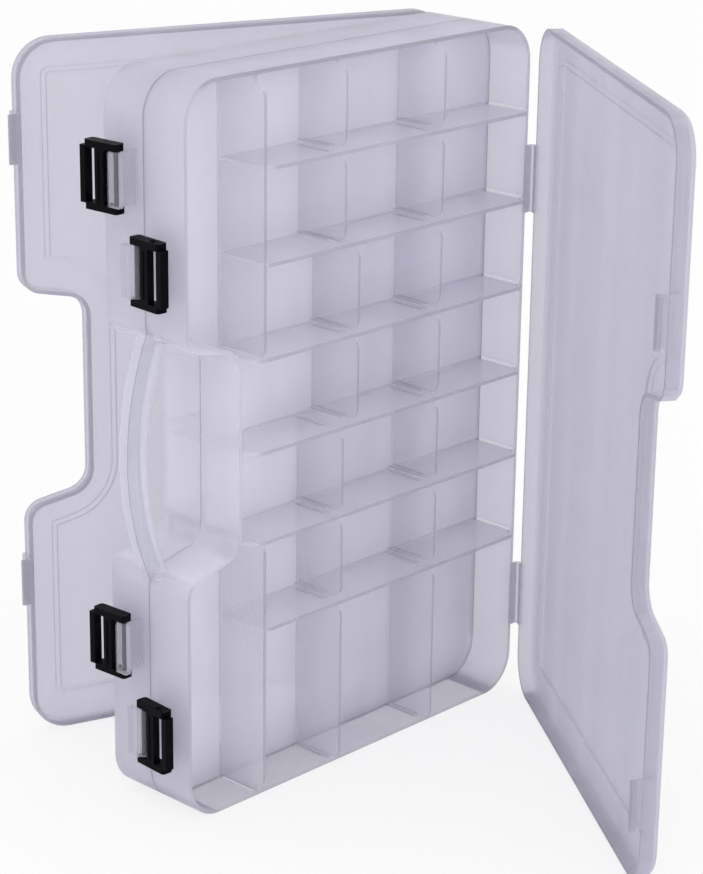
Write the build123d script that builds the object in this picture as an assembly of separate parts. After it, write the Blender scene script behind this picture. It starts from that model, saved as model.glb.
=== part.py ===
"""Double-sided tackle box: two clear trays back to back, two hinged lids, four latches, loose dividers.

Millimetres, +Z up.  The box stands on its short end.  X runs across the face, from the handle side
(low X) to the hinge side (high X).  The seam between the two trays lies in the plane Y = 0.  The front
tray opens towards -Y, the back tray towards +Y, and the origin is the middle of the bottom end.
The back tray and back lid are the front mouldings turned half a turn about the X direction.
"""
from build123d import *
from math import radians, tan
import os

# Case
case_height = 290.0
case_width = 190.0
tray_depth = 21.4
wall = 1.6
corner_radius = 16.0

# Recess for the fingers, in the handle side
recess_depth = 27.0
recess_mouth = 90.0
recess_back = 79.0
recess_fillet = 9.0

# Shelves and fixed partitions of each tray
shelf_pitch = 36.4
shelf_count = 6
partition = 1.5
proud = 5.2
lid_inset = 4.5
front_round = 4.0
wide_round = 9.0
wide_shelves = (1, 3, 4, 5)
upright_round = 5.0
skirt_clearance = 2.4
side_column = 35.5

# Loose dividers, from the handle side's outer face; rows are counted from the top
divider_thickness = 1.2
divider_fit = 0.3
divider_round = 5.5
near_divider = 78.0
near_divider_by_handle = 86.0
rows_by_handle = (3, 4)
far_divider = 133.0
rib_width = 1.0
rib_height = 0.9
rib_end_gap = 3.0

# Handle
handle_half_width = 7.0
handle_thickness = 6.0
handle_bow = 7.0
handle_root = 3.0
handle_half_length = 47.0
handle_run_in = 2.0
handle_bevel = 2.3
handle_soften = 0.6

# Lids
lid_depth = 7.0
lid_wall = 1.6
lid_gap = 0.3
edge_bevel = 1.5
plateau_inset = 13.0
plateau_rise = 1.0
front_lid_open = 54.0
back_lid_open = 19.0

# Hinge leaves between tray and lid
leaf_reach = 3.6
leaf_thickness = 1.4
leaf_height = 28.0
bead_radius = 0.9
bead_fit = 0.1
leaf_levels = (41.8, 225.0)

# Latches
latch_levels = (37.5, 220.2)
latch_height = 25.8
latch_reach = 14.4
latch_thickness = 5.0
latch_arm = 2.7
arm_cover = 0.8
arm_bevel = 0.8
arm_root = 0.5
free_bar = 2.6
free_bar_reach = 1.9
free_bar_thickness = 3.7
latch_slot = 4.9
middle_bar = 4.3
middle_thickness = 3.0
groove_margin = 1.0
groove_depth = 0.3
nub_radius = 0.9
nub_rise = 0.5
nub_from_free_end = 5.4
rod_radius = 1.2
rod_fit = 0.08
rod_stand_off = 8.3
rod_depth = 16.1
latch_tilt = 3.5

# Bracket on the tray that holds a latch's rod; its mouth is set in degrees below and above level
hook_height = 19.8
hook_wall = 1.6
mouth_below = 50.0
mouth_above = 29.0
flare_stand_off = 12.2
flare_past_rod = 0.6
flare_gap = 0.3

# Catch on the lid's free edge
catch_height = 19.4
catch_thickness = 1.3
catch_reach = 5.0
catch_clearance = 0.4
catch_lap = 5.4
catch_root = 3.4

# How far a cutting body runs on past what it cuts
overrun = 1.0

left_side = -case_width / 2
right_side = case_width / 2
middle_height = case_height / 2
rim = -tray_depth
floor_face = -wall
hinge_x = right_side + leaf_reach
hinge_y = rim - lid_gap / 2
rod_x = left_side - rod_stand_off
rod_y = rim + rod_depth


def shelf_heights():
    """Middle of each shelf, from the top one down."""
    top = middle_height + shelf_pitch * shelf_count / 2
    return [top - shelf_pitch * number for number in range(shelf_count)]


def slab(sketch, low_y, high_y):
    """A sketch drawn in X and Z, made solid between two values of Y."""
    plane = Plane(origin=(0, high_y, 0), x_dir=(1, 0, 0), z_dir=(0, -1, 0))
    return extrude(plane * sketch, amount=high_y - low_y)


def block(low, high):
    """A box between two corners."""
    size = [high[axis] - low[axis] for axis in range(3)]
    return Pos(*low) * Box(*size, align=(Align.MIN, Align.MIN, Align.MIN))


def plan_slice(sketch, middle_z, height):
    """A sketch drawn in X and Y, made solid to equal heights above and below one level."""
    return Pos(0, 0, middle_z - height / 2) * extrude(sketch, amount=height)


def case_outline(inset):
    """The case seen from the front: rounded corners and the finger recess, drawn in by an inset."""
    mouth = recess_mouth / 2
    back = recess_back / 2
    outline = Polyline(
        (left_side, 0),
        (right_side, 0),
        (right_side, case_height),
        (left_side, case_height),
        (left_side, middle_height + mouth),
        (left_side + recess_depth, middle_height + back),
        (left_side + recess_depth, middle_height - back),
        (left_side, middle_height - mouth),
        close=True,
    )
    face = make_face(outline)
    levels = face.vertices().group_by(Axis.Y)
    recess = [corner for level in levels[1:-1] for corner in level]
    face = fillet(recess, recess_fillet)
    levels = face.vertices().group_by(Axis.Y)
    face = fillet(levels[0] + levels[-1], corner_radius)
    if inset:
        face = offset(face, amount=-inset)
    return face


def partition_profile(start, end, start_round, end_round):
    """A shelf or wall seen square on: its length, and its depth out past the rim with round corners."""
    depth = tray_depth + proud
    sheet = Pos((start + end) / 2, depth / 2) * Rectangle(end - start, depth)
    near, far = sheet.vertices().group_by(Axis.Y)[-1].sort_by(Axis.X)
    sheet = fillet(near, start_round)
    far = sheet.vertices().sort_by(Axis.X)[-2:].sort_by(Axis.Y)[-1]
    return fillet(far, end_round)


def shelf(start, end, height, start_round):
    """One level plate from X start to X end, standing proud of the rim."""
    plane = Plane(origin=(0, 0, height + partition / 2), x_dir=(1, 0, 0), z_dir=(0, 0, -1))
    return extrude(plane * partition_profile(start, end, start_round, front_round), amount=partition)


def upright(place, start, end):
    """The side column's wall at X place, from Z start to Z end."""
    plane = Plane(origin=(place - partition / 2, 0, 0), x_dir=(0, 0, 1), z_dir=(1, 0, 0))
    profile = partition_profile(start, end, upright_round, upright_round)
    return extrude(plane * profile, amount=partition)


def partition_space():
    """Where partitions may be: inside the walls, and clear of the lid's skirt in front of the rim."""
    inside = slab(case_outline(wall / 2), rim, floor_face / 2)
    ahead = slab(case_outline(skirt_clearance), rim - proud, rim)
    return inside + ahead


def partitions():
    """Shelves and the fixed wall of the side column, as one moulding has them."""
    heights = shelf_heights()
    column = left_side + side_column
    recess_face = left_side + recess_depth + wall
    shelf_end = right_side - lid_inset
    plates = []
    for number, height in enumerate(heights, 1):
        beside_recess = abs(height - middle_height) < recess_back / 2
        start = recess_face if beside_recess else column
        start_round = wide_round if number in wide_shelves else front_round
        plates.append(shelf(start, shelf_end, height, start_round))
        if beside_recess:
            plates.append(block(
                (left_side + recess_depth / 2, rim - proud + wide_round, height - partition / 2),
                (recess_face + wide_round, floor_face / 2, height + partition / 2),
            ))
        plates.append(block(
            (shelf_end - front_round, rim, height - partition / 2),
            (right_side - wall / 2, floor_face / 2, height + partition / 2),
        ))
    upper_foot = min(height for height in heights if height > middle_height + shelf_pitch / 2)
    lower_head = max(height for height in heights if height < middle_height - shelf_pitch / 2)
    plates.append(upright(column, upper_foot, case_height - lid_inset))
    plates.append(upright(column, lid_inset, lower_head))
    end_reach = lid_inset + upright_round
    for low, high in ((case_height - end_reach, case_height), (0, end_reach)):
        plates.append(block(
            (column - partition / 2, rim, low),
            (column + partition / 2, floor_face / 2, high),
        ))
    return Part() + plates


def divider_places():
    """X place of each loose divider, and the faces below and above it, row by row from the top."""
    top = case_height - wall + partition / 2
    bottom = wall - partition / 2
    levels = [top] + shelf_heights() + [bottom]
    places = []
    for row, (above, below) in enumerate(zip(levels, levels[1:]), 1):
        near = near_divider_by_handle if row in rows_by_handle else near_divider
        for place in (near, far_divider):
            places.append((left_side + place, below + partition / 2, above - partition / 2))
    return places


def divider(place, low, high):
    """One loose divider, with rounded front corners, in the ribs of its row."""
    depth = tray_depth + proud - wall - divider_fit
    height = high - low - 2 * divider_fit
    sheet = Pos(height / 2, depth / 2) * Rectangle(height, depth)
    sheet = fillet(sheet.vertices().group_by(Axis.Y)[-1], divider_round)
    origin = (place - divider_thickness / 2, floor_face - divider_fit, low + divider_fit)
    plane = Plane(origin=origin, x_dir=(0, 0, 1), z_dir=(1, 0, 0))
    return extrude(plane * sheet, amount=divider_thickness) & partition_space()


def guide_ribs():
    """Two ribs above and two below each divider, which keep it upright."""
    ribs = []
    to_rib = divider_thickness / 2 + divider_fit
    root = partition / 4
    for place, low, high in divider_places():
        for side in (place - to_rib - rib_width, place + to_rib):
            for start, end in ((low - root, low + rib_height), (high - rib_height, high + root)):
                ribs.append(block((side, rim + rib_end_gap, start), (side + rib_width, floor_face / 2, end)))
    return Part() + ribs


def half_handle():
    """Half of the bowed grip: the front tray carries one half, the back tray the other."""
    sagitta = handle_bow + handle_root
    radius = (handle_half_length ** 2 + sagitta ** 2) / (2 * sagitta)
    centre = Pos(left_side - handle_bow + radius, middle_height)
    ring = centre * (Circle(radius + handle_thickness / 2) - Circle(radius - handle_thickness / 2))
    length = 2 * (handle_half_length + handle_run_in)
    bow = slab(ring & Pos(left_side, middle_height) * Rectangle(recess_depth, length), -handle_half_width, 0)
    front = bow.edges().filter_by(GeomType.CIRCLE).group_by(Axis.Y)[0]
    bow = chamfer(front, handle_bevel)
    rounds = bow.edges().filter_by(GeomType.CIRCLE).group_by(Axis.Y)
    return chamfer(rounds[0] + rounds[1], handle_soften)


def latch_hook(level):
    """Bracket that stands off the side wall, closes round the latch's rod and flares outwards."""
    bore = rod_radius + rod_fit
    outer = bore + hook_wall
    rod = Pos(rod_x, rod_y)
    reach = 2 * outer
    mouth = make_face(Polyline(
        (0, 0),
        (reach, -reach * tan(radians(mouth_below))),
        (reach, reach * tan(radians(mouth_above))),
        close=True,
    ))
    ring = rod * (Circle(outer) - Circle(bore) - mouth)
    stem_length = rod_stand_off + wall / 2
    stem = rod * Pos(stem_length / 2, bore + hook_wall / 2) * Rectangle(stem_length, hook_wall)
    flare_left = left_side - flare_stand_off
    flare_right = rod_x - bore - rod_fit
    flare_low = rod_y - flare_past_rod
    flare_high = -flare_gap
    flare = Pos((flare_left + flare_right) / 2, (flare_low + flare_high) / 2) * Rectangle(
        flare_right - flare_left, flare_high - flare_low)
    return plan_slice(ring + stem + flare, level, hook_height)


def tray_leaf(level):
    """Hinge leaf of the tray, hollowed at its edge for the lid's bead."""
    leaf = block(
        (right_side - wall / 2, rim, level - leaf_height / 2),
        (hinge_x, rim + leaf_thickness, level + leaf_height / 2),
    )
    return leaf - Pos(hinge_x, hinge_y, level) * Cylinder(bead_radius + bead_fit, leaf_height + overrun)


def tray():
    """The front moulding: floor, walls, partitions, ribs, half handle, hooks and hinge leaves."""
    shell = slab(case_outline(0), rim, 0) - slab(case_outline(wall), rim, floor_face)
    body = shell + (partitions() & partition_space()) + guide_ribs()
    body += half_handle() - slab(case_outline(wall), rim, 0)
    for level in latch_levels:
        body += latch_hook(level)
    for level in leaf_levels:
        body += tray_leaf(level)
    return body


def catch(level):
    """Tongue that laps over the tray's wall, with a lip for the latch."""
    inner = left_side - catch_clearance
    outer = inner - catch_thickness
    lip = left_side - catch_reach
    shoulder = rim - lid_gap
    tip = shoulder + catch_lap
    skirt = left_side + lid_gap + lid_wall / 2
    outline = Polyline(
        (skirt, shoulder - catch_root),
        (outer, shoulder - catch_root),
        (outer, tip - catch_thickness),
        (lip, tip - catch_thickness),
        (lip, tip),
        (inner, tip),
        (inner, shoulder),
        (skirt, shoulder),
        close=True,
    )
    return plan_slice(make_face(outline), level, catch_height)


def lid_leaf(level):
    """Hinge leaf of the lid, with the bead that turns in the tray's leaf."""
    shoulder = rim - lid_gap
    leaf = block(
        (right_side - lid_gap - lid_wall / 2, shoulder - leaf_thickness, level - leaf_height / 2),
        (hinge_x, shoulder, level + leaf_height / 2),
    )
    return leaf + Pos(hinge_x, hinge_y, level) * Cylinder(bead_radius, leaf_height)


def closed_lid():
    """The front lid as it lies on the tray: bevelled panel, skirt, raised middle, leaves and catches."""
    high = rim - lid_gap
    low = high - lid_depth
    shell = slab(case_outline(lid_gap), low, high)
    shell = chamfer(shell.faces().sort_by(Axis.Y)[0].edges(), edge_bevel)
    raised = slab(case_outline(plateau_inset), low - plateau_rise, low + lid_wall)
    hollow = slab(case_outline(lid_gap + lid_wall), low + lid_wall, high)
    raised_hollow = slab(case_outline(plateau_inset + lid_wall), low + lid_wall - plateau_rise, high)
    body = shell + raised - hollow - raised_hollow
    for level in leaf_levels:
        body += lid_leaf(level)
    for level in latch_levels:
        body += catch(level)
    return body


def swung(shape, pivot_x, pivot_y, angle):
    """A shape turned about an upright axis."""
    return Pos(pivot_x, pivot_y, 0) * Rot(0, 0, angle) * Pos(-pivot_x, -pivot_y, 0) * shape


def to_back(shape):
    """The half turn about X that makes a front piece into its partner at the back."""
    return Pos(0, 0, case_height) * Rot(180, 0, 0) * shape


def latch(level):
    """One latch, parallel to the side wall: two arms, rod, ridged middle bar, slot and free bar."""
    free_end = rod_y - latch_reach
    arm_end = rod_y + rod_radius + arm_cover
    top = latch_height / 2
    inner_top = top - latch_arm
    outline = Pos(rod_x, (free_end + arm_end) / 2) * Rectangle(latch_thickness, arm_end - free_end)
    outline = chamfer(outline.vertices(), arm_bevel)
    arms = plan_slice(outline, level, latch_height) - block(
        (rod_x - latch_thickness, free_end - overrun, level - inner_top),
        (rod_x + latch_thickness, arm_end + overrun, level + inner_top),
    )
    outer_face = rod_x - latch_thickness / 2
    bar_top = inner_top + arm_root
    free_bar_low = free_end - free_bar_reach
    free_bar_high = free_bar_low + free_bar
    holder = block(
        (outer_face, free_bar_low, level - bar_top),
        (outer_face + free_bar_thickness, free_bar_high, level + bar_top),
    )
    bar_low = free_bar_high + latch_slot
    bar = block(
        (outer_face, bar_low, level - bar_top),
        (outer_face + middle_thickness, bar_low + middle_bar, level + bar_top),
    )
    groove = middle_bar / 5
    groove_top = inner_top - groove_margin
    bar -= block(
        (outer_face - overrun, bar_low + 2 * groove, level - groove_top),
        (outer_face + groove_depth, bar_low + 3 * groove, level + groove_top),
    )
    rod = Pos(rod_x, rod_y, level) * Cylinder(rod_radius, 2 * bar_top)
    nub_middle = level + top + (nub_rise - arm_root) / 2
    nub = Pos(rod_x, free_end + nub_from_free_end, nub_middle) * Cylinder(nub_radius, nub_rise + arm_root)
    return swung(arms + holder + bar + rod + nub, rod_x, rod_y, -latch_tilt)


def save(shape, name):
    """One named part: one file."""
    solids = shape.solids()
    result = solids[0] if len(solids) == 1 else Compound(children=solids)
    result.label = name
    export_step(result, f"parts/{name}.step")
    print(name, len(solids), round(sum(solid.volume for solid in solids), 1))


def main():
    os.makedirs("parts", exist_ok=True)
    front_tray = tray()
    save(front_tray, "front_tray")
    save(to_back(front_tray), "back_tray")
    lid = closed_lid()
    save(swung(lid, hinge_x, hinge_y, front_lid_open), "front_lid")
    save(to_back(swung(lid, hinge_x, hinge_y, back_lid_open)), "back_lid")
    for level, name in zip(latch_levels, ("lower", "upper")):
        save(latch(level), f"front_{name}_latch")
    for level, name in zip(latch_levels, ("upper", "lower")):
        save(to_back(latch(level)), f"back_{name}_latch")
    dividers = [divider(*place) for place in divider_places()]
    for number, shape in enumerate(dividers[:-2], 1):
        save(shape, f"divider_{number:02d}")
    for number, shape in enumerate(dividers[-2:], 1):
        save(shape, f"tall_divider_{number}")


main()
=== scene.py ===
"""Looks of the clear double-sided tackle box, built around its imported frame.  Metres, +Z up."""

from math import cos, radians, sin

import bpy
from mathutils import Matrix, Vector

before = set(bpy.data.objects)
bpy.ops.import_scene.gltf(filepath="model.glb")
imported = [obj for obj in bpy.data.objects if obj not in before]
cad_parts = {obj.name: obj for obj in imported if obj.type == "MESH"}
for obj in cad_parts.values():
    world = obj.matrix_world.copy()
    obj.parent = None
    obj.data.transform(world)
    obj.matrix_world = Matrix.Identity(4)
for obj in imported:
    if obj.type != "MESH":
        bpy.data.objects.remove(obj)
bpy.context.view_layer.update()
scene = bpy.context.scene

# Camera: fitted to the corners of the case and of the two lids in the photograph
PHOTO_HEIGHT_PX = 874
FOCAL_PX = 2598.7
SENSOR_MM = 36.0
CAMERA_PLACE = (-0.7083, -0.6878, 0.4677)
CAMERA_YAW = 46.473
CAMERA_PITCH = 18.829
CAMERA_ROLL = 0.772

# Light: two soft boxes on the camera's side, a pale floor and a white surround
SOFT_BOX = 0.9
KEY = {"place": (-1.2, -0.5, 1.5), "target": (0, 0, 0.15), "watts": 1.5}
FILL = {"place": (-0.9, -1.2, 0.45), "target": (0, 0, 0.12), "watts": 4.5}
STAGE_SIZE = 8.0
STAGE_COLOUR = (0.92, 0.92, 0.93, 1)
STAGE_WHITENESS = 0.75

# The lids at rest, and the planes that the mouths of trays and lids lie in, measured from the seam
LID_OPEN = {"front_lid": 54.0, "back_lid": -19.0}
HINGE_X = 0.0986
HINGE_Y = {"front_lid": -0.02155, "back_lid": 0.02155}
TRAY_RIM = 0.0214
LID_RIM = 0.0217

# The case's outline, which tells its walls from what is inside them
CASE_HALF_WIDTH = 0.095
CASE_HALF_HEIGHT = 0.145
CORNER_RADIUS = 0.016
RECESS_DEPTH = 0.027
RECESS_HALF_BACK = 0.0395
RECESS_SLOPE = 0.0055 / 0.027
RECESS_FILLET = 0.009
SKIN = 0.0008
WALL = 0.0020
EDGE = 0.0003

# Where rims, shelf fronts, floors and seam lie: each is full at the first distance and gone at the second
RIM_BAND = (0.0004, 0.0010)
SHELF_PROUD = (0.0030, 0.0020)
FLOOR_BAND = (0.0017, 0.0020)
SEAM_BAND = (0.0002, 0.0005)
EDGE_ON = (0.80, 0.95)

# Clear polypropylene: the share of what lies behind that one face hides, and the colours of that haze
HAZE = {
    "tray": 0.13,
    "wall": 0.56,
    "recess": 0.26,
    "handle": 0.40,
    "bracket": 0.07,
    "floor": 0.50,
    "divider": 0.12,
    "lid": 0.30,
}
OUTER_COLOUR = (0.76, 0.753, 0.825, 1)
WALL_INNER_COLOUR = (0.765, 0.758, 0.828, 1)
RECESS_COLOUR = (0.96, 0.955, 1.0, 1)
HANDLE_COLOUR = (0.82, 0.825, 0.905, 1)
# Painted light: the shelves, floors and dividers inside the outline are far paler than the outer walls, to
# lift the shade that falls inside the cells.
INNER_PAINTED_LIGHT_COLOUR = (0.955, 0.949, 0.985, 1)
LID_COLOUR = (0.775, 0.768, 0.845, 1)
# Painted shade: rims and shelf fronts seen edge on darken towards this colour in place of refraction's dark
# lines, fully on shelf fronts, the top end (also its painted shadow) and lids, by SIDE_RIM elsewhere.
RIM_PAINTED_SHADE = (0.48, 0.475, 0.53, 1)
SEAM_COLOUR = (0.50, 0.49, 0.56, 1)
RIM_HAZE = 0.35
SIDE_RIM = 0.45
THROUGH_GLOW = 0.45

# The tints of what shows through it, straight on and at a grazing angle, with the Fresnel shares of both
SEEN_THROUGH = {
    "tray": (0.975, 0.972, 0.986, 1),
    "divider": (0.975, 0.972, 0.986, 1),
    "lid": (0.815, 0.81, 0.842, 1),
}
SEEN_AT_GRAZING = {
    "tray": (0.91, 0.905, 0.93, 1),
    "divider": (0.91, 0.905, 0.93, 1),
    "lid": (0.77, 0.765, 0.80, 1),
}
TINT_TURNS = (0.02, 0.25)

# Its surface: gloss, fine grain, faint clouds, and streaks along the length that are partly flow marks of
# the melt and partly painted streaks of refracted light and reflection
CLEAR_ROUGHNESS = 0.24
CLEAR_IOR = 1.49
GRAZING_IOR = 1.3
GRAZING_HAZE = 0.5
GRAIN_SCALE = 1400.0
GRAIN_STRENGTH = 0.04
GRAIN_HEIGHT = 0.0002
CLOUD_SCALE = 28.0
CLOUD_DETAIL = 3.0
CLOUD_RANGE = (0.3, 0.7)
CLOUD_SHADE = 0.015
CLOUD_HAZE = 0.04
# Streak strengths: partly flow marks of the melt, partly painted streaks of refracted light and reflection,
# strongest on the lids.
FLOW_AND_LIGHT_STREAKS = {"tray": 0.045, "divider": 0.03, "lid": 0.07}
STREAK_STRETCH = (1.0, 1.0, 0.012)
STREAK_SCALE = 24.0
STREAK_DETAIL = 6.0
STREAK_RANGE = (0.32, 0.68)

# Black latch plastic
LATCH_COLOURS = (0.001, 0.001, 0.002, 1), (0.0022, 0.0022, 0.004, 1)
LATCH_ROUGHNESS = (0.34, 0.46)
LATCH_SPECULAR = 0.04
LATCH_GRAIN_SCALE = 2500.0
LATCH_GRAIN_STRENGTH = 0.25
LATCH_CLOUD_SCALE = 160.0


def make_camera():
    """The photograph's camera: yaw from +Y towards +X, pitch down, roll clockwise."""
    yaw, pitch, roll = (radians(angle) for angle in (CAMERA_YAW, CAMERA_PITCH, CAMERA_ROLL))
    ahead = Vector((sin(yaw) * cos(pitch), cos(yaw) * cos(pitch), -sin(pitch)))
    level_right = Vector((cos(yaw), -sin(yaw), 0))
    level_up = level_right.cross(ahead)
    right = level_right * cos(roll) + level_up * sin(roll)
    up = level_up * cos(roll) - level_right * sin(roll)
    data = bpy.data.cameras.new("camera")
    data.sensor_width = SENSOR_MM
    data.lens = FOCAL_PX * SENSOR_MM / PHOTO_HEIGHT_PX
    camera = bpy.data.objects.new("camera", data)
    axes = Matrix((right, up, -ahead)).transposed()
    camera.matrix_world = Matrix.Translation(CAMERA_PLACE) @ axes.to_4x4()
    scene.collection.objects.link(camera)
    scene.camera = camera


class Nodes:
    """An empty node material, with short ways to add and join its nodes."""

    def __init__(self, name):
        self.material = bpy.data.materials.new(name)
        self.material.use_nodes = True
        self.tree = self.material.node_tree
        self.tree.nodes.clear()

    def add(self, kind, settings=None, **inputs):
        """A node.  Settings are its own properties.  Inputs are its sockets, by name with _ for a space
        or as i and a number, and each is a value or another node's output."""
        node = self.tree.nodes.new(kind)
        for key, value in (settings or {}).items():
            setattr(node, key, value)
        for key, value in inputs.items():
            numbered = key[0] == "i" and key[1:].isdigit()
            socket = node.inputs[int(key[1:]) if numbered else key.replace("_", " ")]
            if isinstance(value, bpy.types.NodeSocket):
                self.tree.links.new(value, socket)
            else:
                socket.default_value = value
        return node

    def maths(self, operation, *values, clamp=False):
        """The output of a Math node."""
        inputs = {"i%d" % place: value for place, value in enumerate(values)}
        return self.add("ShaderNodeMath", {"operation": operation, "use_clamp": clamp}, **inputs).outputs[0]

    def vector_maths(self, operation, **inputs):
        """The vector output of a Vector Math node."""
        return self.add("ShaderNodeVectorMath", {"operation": operation}, **inputs).outputs["Vector"]

    def ramp(self, value, low, high, start=0.0, end=1.0):
        """value from low to high becomes start to end, held at both."""
        return self.add("ShaderNodeMapRange", None, Value=value, From_Min=low, From_Max=high,
                        To_Min=start, To_Max=end).outputs[0]

    def swing(self, value, limits, size):
        """value between its limits becomes a factor that swings by size about 1."""
        return self.ramp(value, *limits, 1.0 - size, 1.0 + size)

    def blend(self, share, first, second):
        """A colour from first to second by share."""
        return self.add("ShaderNodeMix", {"data_type": "RGBA"}, i0=share, i6=first, i7=second).outputs[2]

    def between(self, share, first, second):
        """A number from first to second by share."""
        return self.add("ShaderNodeMix", None, i0=share, i2=first, i3=second).outputs[0]

    def past(self, value, limit):
        """How far value goes past limit, and 0 before it."""
        return self.maths("MAXIMUM", self.maths("SUBTRACT", value, limit), 0.0)

    def short_of(self, value, limit):
        """How far value falls short of limit, and 0 past it."""
        return self.maths("MAXIMUM", self.maths("SUBTRACT", limit, value), 0.0)

    def split(self, vector):
        """The X, Y and Z of a vector."""
        return self.add("ShaderNodeSeparateXYZ", None, Vector=vector).outputs

    def turned(self, vector, angle, centre):
        """A vector turned by angle about a vertical axis."""
        return self.add("ShaderNodeVectorRotate", {"rotation_type": "Z_AXIS"}, Vector=vector, Center=centre,
                        Angle=angle).outputs[0]

    def length(self, first, second):
        """The length of two steps at right angles."""
        steps = self.add("ShaderNodeCombineXYZ", None, X=first, Y=second).outputs[0]
        return self.add("ShaderNodeVectorMath", {"operation": "LENGTH"}, i0=steps).outputs["Value"]

    def noise(self, place, scale, detail=2.0):
        """The height of a noise."""
        return self.add("ShaderNodeTexNoise", None, Vector=place, Scale=scale, Detail=detail).outputs[0]

    def bump(self, height, strength):
        """A normal from a height, with the grain's depth."""
        node = self.add("ShaderNodeBump", None, Strength=strength, Distance=GRAIN_HEIGHT, Height=height)
        return node.outputs[0]

    def show(self, shader):
        """The material, with this shader as its surface."""
        self.tree.links.new(shader, self.tree.nodes.new("ShaderNodeOutputMaterial").inputs[0])
        return self.material


def closed_place(nodes, kind, node):
    """Place and normal in the part's frame with the lids shut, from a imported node's own coordinates."""
    coordinates = nodes.add("ShaderNodeTexCoord")
    place, normal = coordinates.outputs["Object"], coordinates.outputs["Normal"]
    if kind == "lid":
        turn = radians(-LID_OPEN[node])
        centre = (HINGE_X, HINGE_Y[node], 0)
        place = nodes.turned(place, turn, centre)
        normal = nodes.turned(normal, turn, (0, 0, 0))
    return place, normal


def rim_share(nodes, kind, place, normal):
    """1 where the plastic is seen edge on: round a moulding's mouth and along the shelves' front edges. It
    places the painted edge-on shade, full on shelf fronts, the top end and lids, SIDE_RIM of it elsewhere
    round a tray's mouth.
    """
    _, y, z = nodes.split(place)
    from_seam = nodes.maths("ABSOLUTE", y)
    facing = nodes.maths("ABSOLUTE", nodes.split(normal)[1])
    flat_on = nodes.ramp(facing, *EDGE_ON)
    full, gone = RIM_BAND
    if kind == "lid":
        near = nodes.ramp(from_seam, LID_RIM + gone, LID_RIM + full)
    else:
        proud, flush = SHELF_PROUD
        shelf = nodes.ramp(from_seam, TRAY_RIM + flush, TRAY_RIM + proud)
        # The top end's rim takes the full painted edge-on shade, which also paints the shadow along it; the
        # rest of the mouth takes SIDE_RIM of it.
        top_end = nodes.ramp(z, 2 * CASE_HALF_HEIGHT - 2 * WALL, 2 * CASE_HALF_HEIGHT - WALL)
        strength = nodes.ramp(nodes.maths("MAXIMUM", shelf, top_end), 0.0, 1.0, SIDE_RIM, 1.0)
        near = nodes.maths("MULTIPLY", nodes.ramp(from_seam, TRAY_RIM - gone, TRAY_RIM - full), strength)
    return nodes.maths("MULTIPLY", flat_on, near)


def outline_depth(nodes, place):
    """How deep a point lies within the case's outline seen from the front, and how far from the recess."""
    x, _, z = nodes.split(place)
    from_middle = nodes.maths("ABSOLUTE", nodes.maths("SUBTRACT", z, CASE_HALF_HEIGHT))
    past_side = nodes.past(nodes.maths("ABSOLUTE", x), CASE_HALF_WIDTH - CORNER_RADIUS)
    past_end = nodes.past(from_middle, CASE_HALF_HEIGHT - CORNER_RADIUS)
    depth = nodes.maths("SUBTRACT", CORNER_RADIUS, nodes.length(past_side, past_end))
    recess_back = RECESS_DEPTH - CASE_HALF_WIDTH
    half_mouth = nodes.maths("MULTIPLY_ADD", x, -RECESS_SLOPE, RECESS_HALF_BACK + recess_back * RECESS_SLOPE)
    past_back = nodes.past(x, recess_back - RECESS_FILLET)
    past_mouth = nodes.past(nodes.maths("SUBTRACT", from_middle, half_mouth), -RECESS_FILLET)
    from_recess = nodes.maths("SUBTRACT", nodes.length(past_back, past_mouth), RECESS_FILLET)
    short = [nodes.short_of(value, RECESS_FILLET) for value in (depth, from_recess)]
    return nodes.maths("SUBTRACT", RECESS_FILLET, nodes.length(*short)), from_recess


def tray_look(nodes, place):
    """Haze and colour of a tray: thin partitions painted much paler than the walls to lift the shade inside
    the cells, milkier walls and floor, a clear recess, a dark seam.
    """
    x, y, _ = nodes.split(place)
    from_seam = nodes.maths("ABSOLUTE", y)
    depth, from_recess = outline_depth(nodes, place)
    inside = nodes.ramp(depth, WALL, WALL + EDGE)
    recess = nodes.ramp(from_recess, WALL + 2 * EDGE, WALL)
    handle = nodes.ramp(from_recess, -EDGE, -2 * EDGE)
    bracket = nodes.ramp(x, -CASE_HALF_WIDTH - EDGE, -CASE_HALF_WIDTH - 2 * EDGE)
    full, gone = FLOOR_BAND
    floor = nodes.maths("MULTIPLY", inside, nodes.ramp(from_seam, gone, full))
    haze = nodes.between(bracket, HAZE["wall"], HAZE["bracket"])
    haze = nodes.between(recess, haze, HAZE["recess"])
    haze = nodes.between(handle, haze, HAZE["handle"])
    haze = nodes.between(inside, haze, HAZE["tray"])
    haze = nodes.maths("MAXIMUM", haze, nodes.ramp(floor, 0.0, 1.0, HAZE["tray"], HAZE["floor"]))
    body = nodes.blend(nodes.ramp(depth, SKIN, SKIN + EDGE), OUTER_COLOUR, WALL_INNER_COLOUR)
    body = nodes.blend(recess, body, RECESS_COLOUR)
    body = nodes.blend(handle, body, HANDLE_COLOUR)
    # Painted light: inside the outline the partitions take the pale inner colour that lifts the shade in the
    # cells.
    body = nodes.blend(inside, body, INNER_PAINTED_LIGHT_COLOUR)
    full, gone = SEAM_BAND
    seam = nodes.maths("MULTIPLY", nodes.ramp(from_seam, gone, full), nodes.ramp(depth, SKIN, SKIN / 2))
    return haze, nodes.blend(seam, body, SEAM_COLOUR)


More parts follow.
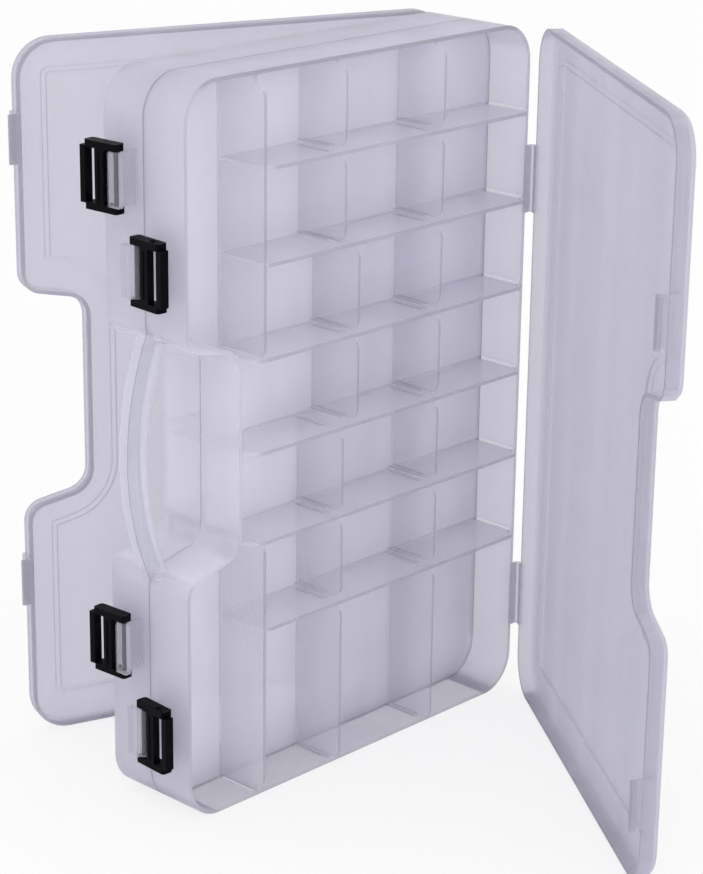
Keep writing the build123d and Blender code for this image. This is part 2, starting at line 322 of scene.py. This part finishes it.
def clear_plastic(name, kind, node=None):
    """Clear polypropylene, a little milky: haze over what is behind, gloss, painted shade where it is seen
    edge on, streaks that are partly flow marks and partly painted refracted light and reflection, and fine
    grain.
    """
    nodes = Nodes(name)
    place, normal = closed_place(nodes, kind, node)
    rim = rim_share(nodes, kind, place, normal)
    clouds = nodes.noise(place, CLOUD_SCALE, CLOUD_DETAIL)
    # Streaks along the length: partly flow marks, partly painted streaks of refracted light and reflection.
    along_length = nodes.vector_maths("MULTIPLY", i0=place, i1=STREAK_STRETCH)
    flow_and_light_streaks = nodes.noise(along_length, STREAK_SCALE, STREAK_DETAIL)
    bump = nodes.bump(nodes.noise(place, GRAIN_SCALE), GRAIN_STRENGTH)
    # Dividers, like a tray's inside, take the inner colour, painted pale to lift the shade in the cells.
    haze, body = HAZE[kind], LID_COLOUR if kind == "lid" else INNER_PAINTED_LIGHT_COLOUR
    if kind == "tray":
        haze, body = tray_look(nodes, place)
    # Painted shade where the plastic is seen edge on, standing in for refraction's dark lines and for the
    # shadow along the top end.
    body = nodes.blend(rim, body, RIM_PAINTED_SHADE)
    shade = nodes.maths("MULTIPLY", nodes.swing(clouds, CLOUD_RANGE, CLOUD_SHADE),
                        nodes.swing(flow_and_light_streaks, STREAK_RANGE, FLOW_AND_LIGHT_STREAKS[kind]))
    body = nodes.vector_maths("SCALE", i0=body, Scale=shade)
    plastic = nodes.add("ShaderNodeBsdfPrincipled", None, Base_Color=body, Roughness=CLEAR_ROUGHNESS,
                        IOR=CLEAR_IOR, Normal=bump).outputs[0]
    lit_through = nodes.add("ShaderNodeBsdfTranslucent", None, Color=body, Normal=bump).outputs[0]
    milk = nodes.add("ShaderNodeMixShader", None, i0=THROUGH_GLOW, i1=plastic, i2=lit_through).outputs[0]
    grazing = nodes.add("ShaderNodeFresnel", None, IOR=GRAZING_IOR, Normal=bump).outputs[0]
    tint = nodes.blend(nodes.ramp(grazing, *TINT_TURNS), SEEN_THROUGH[kind], SEEN_AT_GRAZING[kind])
    behind = nodes.add("ShaderNodeBsdfTransparent", None, Color=tint).outputs[0]
    share = nodes.maths("MULTIPLY", nodes.swing(clouds, CLOUD_RANGE, CLOUD_HAZE), haze)
    share = nodes.maths("ADD", share, nodes.maths("MULTIPLY", grazing, GRAZING_HAZE))
    share = nodes.maths("ADD", share, nodes.maths("MULTIPLY", rim, RIM_HAZE), clamp=True)
    return nodes.show(nodes.add("ShaderNodeMixShader", None, i0=share, i1=behind, i2=milk).outputs[0])


def black_plastic():
    """Moulded black plastic, satin, with a fine grain."""
    nodes = Nodes("black_latch_plastic")
    place = nodes.add("ShaderNodeTexCoord").outputs["Object"]
    clouds = nodes.noise(place, LATCH_CLOUD_SCALE)
    bump = nodes.bump(nodes.noise(place, LATCH_GRAIN_SCALE), LATCH_GRAIN_STRENGTH)
    colour = nodes.blend(clouds, *LATCH_COLOURS)
    gloss = nodes.ramp(clouds, *CLOUD_RANGE, *LATCH_ROUGHNESS)
    plastic = nodes.add("ShaderNodeBsdfPrincipled", None, Base_Color=colour, Roughness=gloss,
                        Specular_IOR_Level=LATCH_SPECULAR, Normal=bump)
    return nodes.show(plastic.outputs[0])


def dress(node, material):
    """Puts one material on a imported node."""
    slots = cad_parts[node].data.materials
    slots.clear()
    slots.append(material)


def make_stage():
    """A pale floor, nearly white to the camera but with the object's shadow on it, and a white surround."""
    nodes = Nodes("pale_floor")
    rays = nodes.add("ShaderNodeLightPath")
    seen = nodes.maths("MULTIPLY", rays.outputs["Is Camera Ray"], STAGE_WHITENESS)
    matt = nodes.add("ShaderNodeBsdfDiffuse", None, Color=STAGE_COLOUR).outputs[0]
    white = nodes.add("ShaderNodeEmission", None, Strength=1.0).outputs[0]
    mix = nodes.add("ShaderNodeMixShader", None, i0=seen, i1=matt, i2=white)
    bpy.ops.mesh.primitive_plane_add(size=STAGE_SIZE, location=(0, 0, 0))
    floor = bpy.context.active_object
    floor.name = "floor"
    floor.data.materials.append(nodes.show(mix.outputs[0]))
    world = bpy.data.worlds.new("surround")
    scene.world = world
    world.use_nodes = True
    background = world.node_tree.nodes["Background"]
    background.inputs["Color"].default_value = (1, 1, 1, 1)
    background.inputs["Strength"].default_value = 1.0


def add_lamp(name, place, target, watts):
    """A square soft box that points at target."""
    data = bpy.data.lights.new(name, "AREA")
    data.size = SOFT_BOX
    data.energy = watts
    lamp = bpy.data.objects.new(name, data)
    lamp.location = place
    lamp.rotation_euler = (Vector(target) - Vector(place)).to_track_quat("-Z", "Y").to_euler()
    scene.collection.objects.link(lamp)


make_camera()
make_stage()
add_lamp("key", **KEY)
add_lamp("fill", **FILL)

trays = clear_plastic("clear_tray", "tray")
dividers = clear_plastic("clear_divider", "divider")
black = black_plastic()
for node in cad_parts:
    if "latch" in node:
        dress(node, black)
    elif "lid" in node:
        dress(node, clear_plastic("clear_" + node, "lid", node))
    else:
        dress(node, dividers if "divider" in node else trays)

scene.view_settings.view_transform = "Standard"
